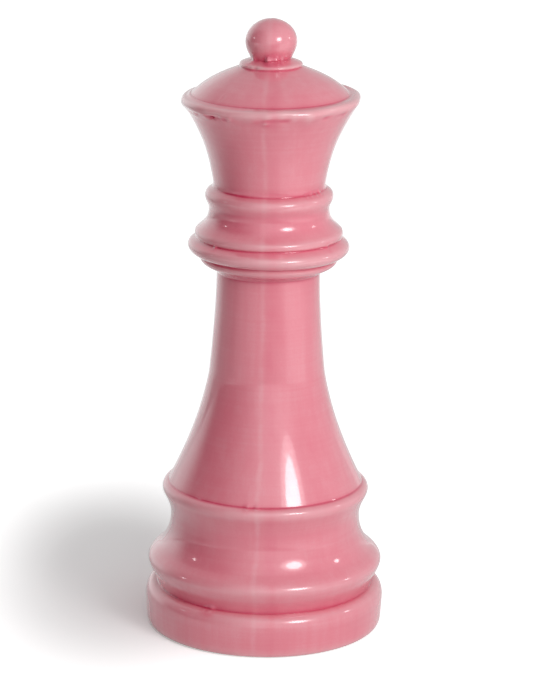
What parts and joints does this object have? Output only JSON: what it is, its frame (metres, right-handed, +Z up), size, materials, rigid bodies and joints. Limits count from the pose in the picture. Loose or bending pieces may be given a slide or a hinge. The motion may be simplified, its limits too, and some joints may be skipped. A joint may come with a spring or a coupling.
{
  "type": "giant chess piece",
  "caption": "Tall glazed ceramic queen chess piece: drum base, bell, flared stem, moulded collar and a lidded crown with a ball finial.",
  "frame": {"origin": "centre of the base, on the surface that the felt pads stand on", "axes": "+Z up along the turned axis, through the base and the ball; -Y is the side that faces the viewer"},
  "size_m": [0.1548, 0.1548, 0.4],
  "materials": {
    "pink_glaze": "high gloss translucent glaze, darker where it pools and paler on edges",
    "silicone": "soft matt stopper",
    "felt": "pressed felt"
  },
  "bodies": {
    "piece": {"base_drum": "pink_glaze", "lower_bell": "pink_glaze", "stem": "pink_glaze", "stem_capital": "pink_glaze", "collar_ring": "pink_glaze", "collar": "pink_glaze", "crown_cup": "pink_glaze", "crown_lid": "pink_glaze", "finial_disc": "pink_glaze", "finial_ball": "pink_glaze", "felt_pad_1": "felt", "felt_pad_2": "felt", "felt_pad_3": "felt", "felt_pad_4": "felt"},
    "stopper": {"vent_stopper": "silicone"}
  },
  "joints": [
    {"name": "stopper_pull", "type": "slide", "parent": "piece", "child": "stopper", "axis": [0, 0, -1], "range_m": [0, 0.016]}
  ]
}
